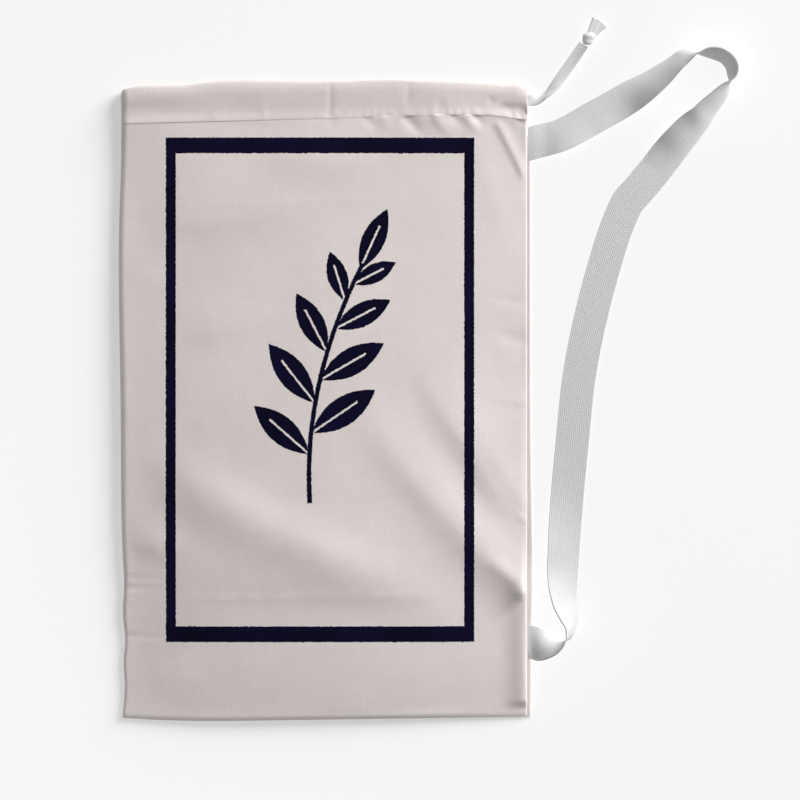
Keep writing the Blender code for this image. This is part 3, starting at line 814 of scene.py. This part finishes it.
casingFolds = (
    # crest rows run along the casing: along is 0 at the stitch line and 1 at the top edge
    Fold(0.00, 0.40, 0.08, 0.42, 0.22, 0.44, 0.007, 0.006, -0.0007, 0.06, 0.60),
    Fold(0.512, 0.02, 0.516, 0.40, 0.515, 0.98, 0.0035, 0.0030, -0.0007, 0.05, 0.10),
    Fold(0.920, 0.27, 0.960, 0.29, 1.000, 0.31, 0.0080, 0.0052, -0.0018, 0.40, 0.02),
    Fold(0.905, 0.30, 0.912, 0.45, 0.914, 0.62, 0.0040, 0.0040, -0.0007, 0.40, 0.40),
    Fold(0.705, 0.98, 0.712, 0.70, 0.700, 0.20, 0.0045, 0.0050, -0.0006, 0.10, 0.30),
    Fold(0.78, 0.05, 0.80, 0.30, 0.77, 0.62, 0.0050, 0.0060, -0.0006, 0.10, 0.50),
    Fold(0.22, 0.05, 0.24, 0.30, 0.27, 0.60, 0.0050, 0.0060, 0.0004, 0.20, 0.50),
    Fold(0.36, 0.05, 0.34, 0.30, 0.36, 0.60, 0.0050, 0.0060, 0.0004, 0.20, 0.50),
)


# Height of the casing's face over its level, from the stitch line to the top edge
HemRow = namedtuple("HemRow", "depth height")
hemRows = (
    HemRow(0.00, 0.00050),
    HemRow(0.05, 0.00046),
    HemRow(0.14, -0.00010),
    HemRow(0.24, -0.00035),
    HemRow(0.40, 0.00020),
    HemRow(0.58, 0.00100),
    HemRow(0.72, 0.00150),
    HemRow(0.84, 0.00155),
    HemRow(0.92, 0.00130),
    HemRow(1.00, 0.00090),
)


HemPull = namedtuple("HemPull", "across share")
hemPulls = (
    HemPull(0.00, 1.25),
    HemPull(0.17, 1.30),
    HemPull(0.32, 1.15),
    HemPull(0.45, 0.80),
    HemPull(0.55, 0.62),
    HemPull(0.80, 0.60),
    HemPull(0.88, 1.05),
    HemPull(1.00, 1.10),
)


def casingRelief(across, depth):
    # height of the casing's outer face against its flat level
    pull = tableValue(hemPulls, "across", "share", across)
    bulge = tableValue(hemRows, "depth", "height", depth) * pull
    ripple = np.sin(across * bodyWidth * 2 * math.pi / 0.0117 + 3 * np.sin(across * 31))
    ripple = ripple * 0.00030 * (0.20 + across**2) * np.exp(-(((depth - 0.05) / 0.16) ** 2))
    swell = 0.0004 * clothSwell(across * bodyWidth, depth * casing["depth"], 26.0, 5.0)
    folds = foldRelief(casingFolds, across, depth, bodyWidth, casing["depth"], 12)
    fromRight = (1 - across) * bodyWidth
    return bulge * (0.35 + 0.65 * eased(fromRight / 0.014)) + (ripple + swell + folds) * eased(depth / 0.05 + 0.2)


def casingStations():
    # middle line of the tunnel: front from the right, left turn, back
    left = float(leftEdgeX(np.array(1.0)))
    turnRadius = (casing["mouthGap"] + casing["thickness"]) / 2
    turnX = left + casing["thickness"] / 2 + turnRadius
    turnZ = casing["thickness"] / 2 + turnRadius
    frontShare = crowded(np.arange(casing["frontSteps"]) / casing["frontSteps"], 0.3)
    x = list(mixed(bodyRight, turnX, frontShare))
    across = [(px - left) / (bodyRight - left) for px in x]
    z = list(casingTop(np.array(across)) - casing["thickness"] / 2)
    outward = [(0.0, 1.0)] * len(x)
    for step in range(casing["turnSteps"] + 1):
        angle = math.pi / 2 + math.pi * step / casing["turnSteps"]
        outward.append((math.cos(angle), math.sin(angle)))
        x.append(turnX + turnRadius * math.cos(angle))
        z.append(turnZ + turnRadius * math.sin(angle))
        across.append((x[-1] - left) / (bodyRight - left))
    for step in range(1, casing["backSteps"] + 1):
        outward.append((0.0, -1.0))
        x.append(mixed(turnX, bodyRight, step / casing["backSteps"]))
        z.append(casing["thickness"] / 2)
        across.append((x[-1] - left) / (bodyRight - left))
    return np.array(x), np.array(z), np.array(across), np.array(outward)


def makeCasing():
    x, z, across, outward = casingStations()
    half = casing["thickness"] / 2
    low = stitchLineY(across)
    high = topEdgeY(across)
    front = casing["frontSteps"]
    depths = []
    lifts = []
    for step in range(casing["faceSteps"] + 1):
        depths.append(0.92 * step / casing["faceSteps"])
        lifts.append(1.0)
    for step in range(1, casing["edgeSteps"]):
        angle = math.pi * step / casing["edgeSteps"]
        depths.append(0.92 + 0.08 * math.sin(angle))
        lifts.append(math.cos(angle))
    for step in range(casing["innerSteps"] + 1):
        depths.append(0.92 - 0.90 * step / casing["innerSteps"])
        lifts.append(-1.0)
    for step in range(1, casing["edgeSteps"]):
        angle = math.pi / 2 * step / casing["edgeSteps"]
        depths.append(0.02 - 0.02 * math.sin(angle))
        lifts.append(-math.cos(angle) + 0.5 * step / casing["edgeSteps"])
    depth = np.array(depths)[None, :] + 0 * across[:, None]
    lift = np.array(lifts)[None, :] + 0 * across[:, None]
    relief = casingRelief(across[:, None] + 0 * depth, depth)
    onFront = np.zeros(len(x))
    onFront[:front] = 1.0
    onFront[front:front + casing["turnSteps"] + 1] = np.linspace(1, 0, casing["turnSteps"] + 1) ** 2
    share = np.clip(lift, 0, 1) * onFront[:, None]
    relief = relief * share
    shoulder = 1 - 0.35 * np.clip((depth - 0.72) / 0.2, 0, 1) ** 2
    offset = lift * half * np.where(lift > 0, shoulder, 1.0) + relief
    px = x[:, None] + outward[:, :1] * offset
    pz = z[:, None] + outward[:, 1:] * offset
    py = mixed(low[:, None], high[:, None], depth)
    rings = np.stack([px, py, pz], axis=-1)
    faces = gridFaces(len(x), rings.shape[1])
    return makePiece("casingHem", rings.reshape(-1, 3), faces, [shadedCasingCotton], casing["wall"])


bodyPiece = makeBagBody()
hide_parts("bag_body")
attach(bodyPiece, "root")
print("bag body made")

casingPiece = makeCasing()
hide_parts("casing")
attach(casingPiece, "root")
print("casing made")


# Seam allowance along the right edge

sideSeam = {
    "thickness": 0.0017,
    "rows": 200,
    "bulge": 0.0022,
}


def makeSideSeam():
    inner = bodyRight + bagBody["gap"]
    outer = bagBody["width"] / 2
    low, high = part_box("side_seam")[0].y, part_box("side_seam")[1].y
    rings = []
    for row in range(sideSeam["rows"] + 1):
        share = row / sideSeam["rows"]
        y = mixed(low, high, share)
        bulge = sideSeam["bulge"] * math.exp(-(((share - 0.27) / 0.16) ** 2))
        edge = outer + bulge + 0.00035 * noise.noise(Vector((0, y * 40, 2)))
        top = sideSeam["thickness"] * (1 + 0.10 * noise.noise(Vector((4, y * 60, 0))))
        rings.append((
            (inner, y, 0.0001),
            (edge - 0.0004, y, 0.0001),
            (edge, y, top * 0.5),
            (edge - 0.0005, y, top * 0.96),
            (edge - 0.0014, y, top),
            (inner + 0.0010, y, top * 0.86),
            (inner, y, top * 0.70),
        ))
    count = len(rings[0])
    points = [point for ring in rings for point in ring]
    faces = gridFaces(len(rings), count)
    faces.append(tuple(range(count)))
    faces.append(tuple(range((len(rings) - 1) * count, len(rings) * count)))
    return makePiece("seamAllowance", points, faces, [plainCotton])


seamPiece = makeSideSeam()
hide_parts("side_seam")
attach(seamPiece, "root")
print("seam allowance made")


# Shoulder strap

strapValues = {
    "width": 0.0370,
    "thickness": 0.0016,
    "reach": 0.2352,
    "spacing": 0.5543,
    "lowerSeat": 0.0862,
    "settling": 0.020,
    "edgeLift": 0.2,
    "ribs": 18,
    "ribHeight": 0.00014,
    "pointsPerRib": 3,
    "stationPitch": 0.0024,
    "seamThickness": 0.0018,
    "light": (0.760, 0.760, 0.765),
    "dark": (0.400, 0.400, 0.410),
    "floatPitch": 0.0019,
    "floatSlant": 0.25,
}

StrapRow = namedtuple("StrapRow", "out along tilt seam")
strapRows = (
    StrapRow(0.000, 1.000, 0, 1.0),
    StrapRow(0.050, 1.006, 3, 0.6),
    StrapRow(0.142, 1.016, 12, 0),
    StrapRow(0.306, 1.052, 8, 0),
    StrapRow(0.469, 1.091, 12, 0),
    StrapRow(0.582, 1.121, 38, 0),
    StrapRow(0.640, 1.140, 48, 0),
    StrapRow(0.702, 1.162, 60, 0),
    StrapRow(0.744, 1.176, 64, 0),
    StrapRow(0.786, 1.182, 78, 0),
    StrapRow(0.812, 1.182, 90, 0),
    StrapRow(0.847, 1.183, 101, 0),
    StrapRow(0.889, 1.181, 107, 0),
    StrapRow(0.930, 1.174, 107, 0),
    StrapRow(0.966, 1.155, 107, 0),
    StrapRow(0.968, 1.137, 102, 0),
    StrapRow(0.960, 1.125, 90, 0),
    StrapRow(0.944, 1.115, 76, 0),
    StrapRow(0.921, 1.103, 67, 0),
    StrapRow(0.890, 1.088, 61, 0),
    StrapRow(0.852, 1.071, 54, 0),
    StrapRow(0.816, 1.052, 45, 0),
    StrapRow(0.773, 1.034, 32, 0),
    StrapRow(0.722, 1.010, 22, 0),
    StrapRow(0.661, 0.979, 6, 0),
    StrapRow(0.605, 0.948, 0, 0),
    StrapRow(0.532, 0.911, 0, 0),
    StrapRow(0.474, 0.882, 0, 0),
    StrapRow(0.437, 0.848, 0, 0),
    StrapRow(0.400, 0.805, 0, 0),
    StrapRow(0.361, 0.750, 0, 0),
    StrapRow(0.294, 0.640, 0, 0),
    StrapRow(0.247, 0.537, 0, 0),
    StrapRow(0.213, 0.402, 0, 0),
    StrapRow(0.184, 0.270, 5, 0),
    StrapRow(0.173, 0.198, 15, 0),
    StrapRow(0.166, 0.128, 24, 0),
    StrapRow(0.168, 0.104, 33, 0),
    StrapRow(0.175, 0.081, 42, 0),
    StrapRow(0.193, 0.053, 55, 0),
    StrapRow(0.202, 0.028, 71, 0),
    StrapRow(0.190, 0.009, 80, 0),
    StrapRow(0.164, -0.001, 95, 0),
    StrapRow(0.142, -0.006, 106, 0),
    StrapRow(0.124, -0.008, 116, 0),
    StrapRow(0.100, -0.009, 128, 0),
    StrapRow(0.076, -0.008, 145, 0.3),
    StrapRow(0.047, -0.004, 164, 0.7),
    StrapRow(0.020, -0.001, 177, 1.0),
    StrapRow(0.000, 0.000, 180, 1.0),
)


def routeCurve(points, columns, pitch):
    # stations along a smooth route: place, travel direction and the columns' values
    points = np.array(points, float)
    knots = np.concatenate([[0.0], np.cumsum(np.hypot(*np.diff(points, axis=0).T))])
    count = int(round(knots[-1] / pitch))
    places = np.linspace(0, knots[-1], count + 1)
    nudge = knots[-1] * 1e-4

    def at(where):
        return np.stack([smoothCurve(knots, points[:, 0], where), smoothCurve(knots, points[:, 1], where)], axis=-1)

    centre = at(places)
    travel = at(np.minimum(places + nudge, knots[-1])) - at(np.maximum(places - nudge, 0))
    travel /= np.linalg.norm(travel, axis=1)[:, None]
    values = [smoothCurve(knots, column, places) for column in columns]
    return centre, travel, values, places


def makeWebbing():
    # lengthwise ribs of slanted floats, mirrored from rib to rib, with a plain selvage
    web = Finish("greyWebbing", 0.78, 0.25, 0.12)
    coordinates = web.attribute("strapPlace")
    length, across, edge = web.parts(coordinates)
    ribs = strapValues["ribs"]
    ribPlace = web.math("MULTIPLY", across, ribs / strapValues["width"])
    ribIn = web.math("PINGPONG", ribPlace, 1.0)
    slant = web.math("MULTIPLY", ribIn, strapValues["floatSlant"] * 2 * math.pi * 2)
    turns = web.math("MULTIPLY", length, 2 * math.pi / strapValues["floatPitch"])
    floats = web.math("SINE", web.math("ADD", turns, slant))
    ribTurn = web.math("SINE", web.math("MULTIPLY", ribPlace, math.pi))
    ribCrown = web.math("POWER", web.math("ABSOLUTE", ribTurn), 0.6)
    height = web.math("MULTIPLY", web.math("MULTIPLY_ADD", floats, 0.35, 0.65), ribCrown)
    fuzz = web.noise(coordinates, 1.0, 3, 0.6, (900, 2600, 1))
    height = web.math("MULTIPLY_ADD", fuzz, 0.35, height)
    # colour follows the weave relief: the float pattern, with painted shade where the weave lies low between ribs and
    # floats
    colour = web.ramp(height, 0.05, 0.95, strapValues["dark"], strapValues["light"])
    wear = web.noise(coordinates, 1.0, 2, 0.5, (14, 60, 1))
    colour = web.mixColour(web.math("MULTIPLY", wear, 0.18), colour, (0.45, 0.45, 0.46, 1))
    return web.finish(colour, web.bump(height, 0.00022, 1.0))


def makeStrap():
    values = strapValues
    startX = bodyRight + 2 * bagBody["gap"]
    lowY = bodyBottom + values["lowerSeat"]
    reach = values["reach"] - 2 * bagBody["gap"]
    points = [(startX + row.out * reach, lowY + row.along * values["spacing"]) for row in strapRows]
    centre, travel, (tilt, seam), places = routeCurve(
        points, [column(strapRows, "tilt"), column(strapRows, "seam")], values["stationPitch"]
    )
    tilt = np.radians(np.clip(tilt, 0, 180))
    seam = np.clip(seam, 0, 1)
    slant = np.where(seam > 0, travel[:, 1] / np.maximum(np.abs(travel[:, 0]), 0.05), 0.0)
    ahead = np.concatenate([travel, np.zeros((len(travel), 1))], axis=1)
    level = np.stack([travel[:, 1], -travel[:, 0], 0 * tilt], axis=-1)
    up = np.array([0.0, 0.0, 1.0])
    cross = level * np.cos(tilt)[:, None] + up * np.sin(tilt)[:, None]
    through = -level * np.sin(tilt)[:, None] + up * np.cos(tilt)[:, None]
    cross = cross - ahead * (slant * seam)[:, None]
    settled = eased((centre[:, 0] - bagBody["width"] / 2) / values["settling"])
    seat = mixed(values["seamThickness"] + bagBody["gap"], 0.0, settled)
    halfWall = values["thickness"] / 2
    z = values["width"] / 2 * np.sin(tilt) + halfWall * (np.abs(np.cos(tilt)) + values["edgeLift"]) + seat
    spine = np.concatenate([centre, z[:, None]], axis=1)
    steps = values["ribs"] * values["pointsPerRib"]
    share = np.arange(steps + 1) / steps
    crown = np.abs(np.sin(math.pi * values["ribs"] * share)) ** 0.7
    face = halfWall - values["ribHeight"] * (1 - crown)
    offsets = [(v - 0.5, height) for v, height in zip(share, face)]
    offsets += [(0.5 - v, -height) for v, height in zip(share, face)]
    rings = []
    coordinates = []
    for v, height in offsets:
        rings.append(spine + cross * values["width"] * v + through * height)
        edge = np.full(len(places), 1.0 if height > 0 else -1.0)
        coordinates.append(np.stack([places, np.full(len(places), (v + 0.5) * values["width"]), edge], axis=-1))
    rings = np.stack(rings, axis=1)
    coordinates = np.stack(coordinates, axis=1)
    count = rings.shape[1]
    faces = gridFaces(len(rings), count)
    faces.append(tuple(range(count)))
    faces.append(tuple(range((len(rings) - 1) * count, len(rings) * count)))
    piece = makePiece("webbingStrap", rings.reshape(-1, 3), faces, [makeWebbing()], smoothAngle=75)
    place = piece.data.attributes.new("strapPlace", "FLOAT_VECTOR", "POINT")
    place.data.foreach_set("vector", coordinates.reshape(-1, 3).ravel())
    return piece, places[-1]


strapPiece, strapLength = makeStrap()
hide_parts("strap")
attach(strapPiece, "root")
print("strap made, length", round(strapLength, 4))


# Drawstring: two tape ends out of the casing, the knot and its tails

tapeValues = {
    "width": 0.0120,
    "thickness": 0.0011,
    "drop": 0.0112,
    "knotOut": 0.0682,
    "knotRise": 0.0695,
    "knotTilt": 22,
    "settling": 0.030,
    "stationPitch": 0.0012,
    "acrossSteps": 10,
    "light": (0.800, 0.800, 0.805),
    "dark": (0.500, 0.500, 0.510),
}
knotValues = {
    "length": 0.0170,
    "width": 0.0130,
    "height": 0.0096,
    "tailLength": 0.0235,
    "tailWidth": 0.0100,
    "tailThickness": 0.0012,
    "tailSplay": 11.0,
}

TapeRow = namedtuple("TapeRow", "out rise tilt")
tapeRows = (
    TapeRow(0.000, 0.000, 0),
    TapeRow(0.060, 0.000, 0),
    TapeRow(0.160, 0.010, 26),
    TapeRow(0.290, 0.070, 58),
    TapeRow(0.410, 0.180, 40),
    TapeRow(0.510, 0.310, 20),
    TapeRow(0.600, 0.440, 10),
    TapeRow(0.700, 0.580, 8),
    TapeRow(0.810, 0.735, 12),
)


def makeTapeFinish():
    tape = Finish("greyTape", 0.82, 0.2, 0.15)
    coordinates = tape.attribute("tapePlace")
    length, across, edge = tape.parts(coordinates)
    ribs = tape.math("SINE", tape.math("MULTIPLY", across, 2 * math.pi / 0.0013))
    picks = tape.math("SINE", tape.math("MULTIPLY", length, 2 * math.pi / 0.0009))
    height = tape.math("MULTIPLY_ADD", ribs, 0.35, tape.math("MULTIPLY_ADD", picks, 0.12, 0.5))
    fuzz = tape.noise(coordinates, 1.0, 3, 0.6, (500, 2500, 1))
    height = tape.math("MULTIPLY_ADD", fuzz, 0.4, height)
    # painted shade: the tape's colour is darker where its ribs and picks lie low
    colour = tape.ramp(height, 0.15, 1.15, tapeValues["dark"], tapeValues["light"])
    return tape.finish(colour, tape.bump(height, 0.0002, 0.9))


greyTape = makeTapeFinish()


def tapeSeatY():
    return float(topEdgeY(np.array(1.0))) - tapeValues["drop"]


def tapeRoute():
    startX = bodyRight + bagBody["gap"]
    startY = tapeSeatY()
    points = [(startX + row.out * tapeValues["knotOut"], startY + row.rise * tapeValues["knotRise"]) for row in tapeRows]
    knot = Vector((startX + tapeValues["knotOut"], startY + tapeValues["knotRise"], knotValues["height"] / 2))
    heading = (knot.to_2d() - Vector(points[-1])).normalized()
    points.append(tuple(knot.to_2d() - heading * (knotValues["length"] / 2 + bagBody["gap"])))
    return points, knot, heading


def ribbonSection(width, thickness, steps, cup):
    # closed section of a flat tape, slightly cupped, with full edges
    section = []
    for sign in (1, -1):
        for step in range(steps + 1):
            v = sign * (step / steps - 0.5)
            edge = 1 - abs(2 * v) ** 6 * 0.6
            section.append((v * width, sign * thickness / 2 * edge + cup * (2 * v) ** 2))
    return section


def makeTapeEnd(name, node, side, exitZ):
    points, knot, heading = tapeRoute()
    tilts = column(tapeRows, "tilt") + [tapeValues["knotTilt"]]
    centre, travel, (tilt,), places = routeCurve(points, [tilts], tapeValues["stationPitch"])
    tilt = np.radians(tilt)
    level = np.stack([travel[:, 1], -travel[:, 0], 0 * tilt], axis=-1)
    up = np.array([0.0, 0.0, 1.0])
    cross = level * np.cos(tilt)[:, None] + up * np.sin(tilt)[:, None]
    through = -level * np.sin(tilt)[:, None] + up * np.cos(tilt)[:, None]
    stack = tapeValues["thickness"] + bagBody["gap"]
    ground = tapeValues["width"] / 2 * np.sin(tilt) + stack * np.abs(np.cos(tilt))
    spine = np.concatenate([centre, ground[:, None]], axis=1) + through * side * stack / 2
    settled = eased((centre[:, 0] - points[0][0]) / tapeValues["settling"])
    spine[:, 2] = mixed(exitZ, spine[:, 2], settled)
    clear = tapeValues["width"] / 2 * np.sin(tilt) + tapeValues["thickness"] * np.cos(tilt)
    spine[:, 2] = np.maximum(spine[:, 2], clear)  # the lower edge never dips under the table
    rings = []
    coordinates = []
    for v, height in ribbonSection(tapeValues["width"], tapeValues["thickness"], tapeValues["acrossSteps"], 0.0004):
        rings.append(spine + cross * v + through * height)
        coordinates.append(np.stack([places, np.full(len(places), v), 0 * places], axis=-1))
    rings = np.stack(rings, axis=1)
    count = rings.shape[1]
    faces = gridFaces(len(rings), count)
    faces.append(tuple(range(count)))
    faces.append(tuple(range((len(rings) - 1) * count, len(rings) * count)))
    piece = makePiece(name, rings.reshape(-1, 3), faces, [greyTape])
    place = piece.data.attributes.new("tapePlace", "FLOAT_VECTOR", "POINT")
    place.data.foreach_set("vector", np.stack(coordinates, axis=1).reshape(-1, 3).ravel())
    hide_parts(node)
    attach(piece, "root")
    length = float(np.sum(np.linalg.norm(np.diff(spine, axis=0), axis=1)))
    return piece, spine, length


def makeKnot():
    points, knot, heading = tapeRoute()
    shape = bmesh.new()
    bmesh.ops.create_uvsphere(shape, u_segments=32, v_segments=20, radius=0.5)
    turn = math.atan2(heading.y, heading.x)
    for vert in shape.verts:
        place = vert.co * 2
        wrap = 1 + 0.10 * math.sin(5 * place.x + 2.2 * place.y)
        vert.co = Vector((
            vert.co.x * knotValues["length"],
            vert.co.y * knotValues["width"] * wrap,
            vert.co.z * knotValues["height"] * wrap,
        ))
    rotation = Vector((math.cos(turn), math.sin(turn), 0))
    sideways = Vector((-rotation.y, rotation.x, 0))
    for vert in shape.verts:
        vert.co = knot + rotation * vert.co.x + sideways * vert.co.y + Vector((0, 0, vert.co.z))
    for side in (1, -1):
        splay = turn + math.radians(knotValues["tailSplay"]) * side
        out = Vector((math.cos(splay), math.sin(splay), 0))
        over = Vector((-out.y, out.x, 0))
        verts = []
        steps = 16
        for step in range(steps + 1):
            t = step / steps
            ring = []
            width = knotValues["tailWidth"] * (0.75 + 0.35 * t)
            lift = side * 0.0013 * (1 - 0.3 * t)
            for v, height in ribbonSection(width, knotValues["tailThickness"], 6, 0.0003):
                place = knot + out * knotValues["tailLength"] * t + over * v + Vector((0, 0, lift + height))
                ring.append(shape.verts.new(place))
            verts.append(ring)
        for ring, following in zip(verts, verts[1:]):
            for i in range(len(ring)):
                j = (i + 1) % len(ring)
                shape.faces.new((ring[i], ring[j], following[j], following[i]))
        shape.faces.new(verts[0])
        shape.faces.new(verts[-1])
    bmesh.ops.recalc_face_normals(shape, faces=shape.faces)
    mesh = bpy.data.meshes.new("tapeKnot")
    shape.to_mesh(mesh)
    shape.free()
    mesh.shade_smooth()
    mesh.materials.append(greyTape)
    place = mesh.attributes.new("tapePlace", "FLOAT_VECTOR", "POINT")
    coordinates = []
    for vert in mesh.vertices:
        offset = vert.co - knot
        coordinates += [offset.dot(rotation), offset.dot(sideways), 0.0]
    place.data.foreach_set("vector", coordinates)
    piece = bpy.data.objects.new("tapeKnot", mesh)
    bpy.context.scene.collection.objects.link(piece)
    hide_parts("drawstring_knot")
    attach(piece, "root")
    return piece


knotPiece = makeKnot()
frontExit = float(casingTop(np.array(1.0))) - casing["thickness"] / 2
frontEnd, frontPath, frontLength = makeTapeEnd("tapeEndFront", "drawstring_end_front", 1, frontExit)
backEnd, backPath, backLength = makeTapeEnd("tapeEndBack", "drawstring_end_back", -1, casing["thickness"] / 2)
for piece in (strapPiece, knotPiece, frontEnd, backEnd):
    piece.visible_shadow = False  # the photographed strap and tape throw no shadow
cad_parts["drawstring_loop"].data.materials.clear()
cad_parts["drawstring_loop"].data.materials.append(greyTape)
print("drawstring made, ends", round(frontLength, 4), round(backLength, 4))
